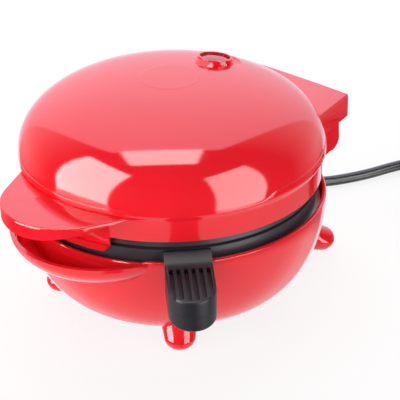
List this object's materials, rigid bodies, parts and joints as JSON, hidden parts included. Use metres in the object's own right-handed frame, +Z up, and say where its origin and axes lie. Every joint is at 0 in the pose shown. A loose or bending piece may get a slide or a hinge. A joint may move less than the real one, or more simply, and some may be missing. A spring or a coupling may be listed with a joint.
{
  "type": "electric cake maker",
  "caption": "Round table-top cake maker: hinged domed lid with a crescent handle, scooped base on legs, baking plates with moulds, a draw-off grip and a coiled mains cord.",
  "frame": {"origin": "on the table under the middle of the footprint, the cord, its coil and the plug not counted", "axes": "+Z up; the front handles point to -Y and the lid hinge is at +Y; +X is to the right seen from the front"},
  "size_m": [0.2047, 0.3956, 0.139],
  "materials": {
    "shell_red": "glossy moulded red",
    "plate_black": "cast, black non-stick coating",
    "pan_metal": "pressed sheet",
    "element_steel": "tubular element sheath",
    "steel": "plated",
    "grip_black": "satin moulded black",
    "lens_red": "translucent dark red",
    "lamp_glass": "clear bulb",
    "rubber_black": "soft",
    "cord_black": "smooth flexible sheath",
    "plug_black": "moulded on",
    "control_white": "heat-proof",
    "lead_white": "insulated lead"
  },
  "bodies": {
    "base": {"base_shell": "shell_red", "bottom_cover": "shell_red", "foot_pads": "rubber_black", "cover_screws": "steel", "lower_pan": "pan_metal", "pan_screws": "steel", "lower_heater": "element_steel", "lower_plate": "plate_black", "thermostat": "control_white", "thermal_fuse": "lead_white", "terminal_block": "control_white", "base_leads": "lead_white", "strain_relief": "rubber_black", "hinge_pins": "steel", "power_cord": "cord_black", "cord_coil": "cord_black", "plug": "plug_black", "cord_tie": "rubber_black"},
    "lid": {"lid_frame": "shell_red", "lid_cover": "shell_red", "lid_screws": "steel", "lamp_lens": "lens_red", "neon_lamp": "lamp_glass", "upper_pan": "pan_metal", "upper_heater": "element_steel", "upper_plate": "plate_black", "upper_plate_screws": "steel", "lid_leads": "lead_white"},
    "grip": {"grip_top": "grip_black", "grip_bottom": "grip_black", "grip_hook": "steel", "grip_screws": "steel"}
  },
  "joints": [
    {"name": "lid_hinge", "type": "hinge", "parent": "base", "child": "lid", "pos_m": [-0.00303, 0.1009, 0.075], "axis": [-1, 0, 0], "range_deg": [0, 95]},
    {"name": "grip_draw", "type": "slide", "parent": "base", "child": "grip", "axis": [0.7501, -0.6613, 0], "range_m": [0, 0.02]}
  ]
}
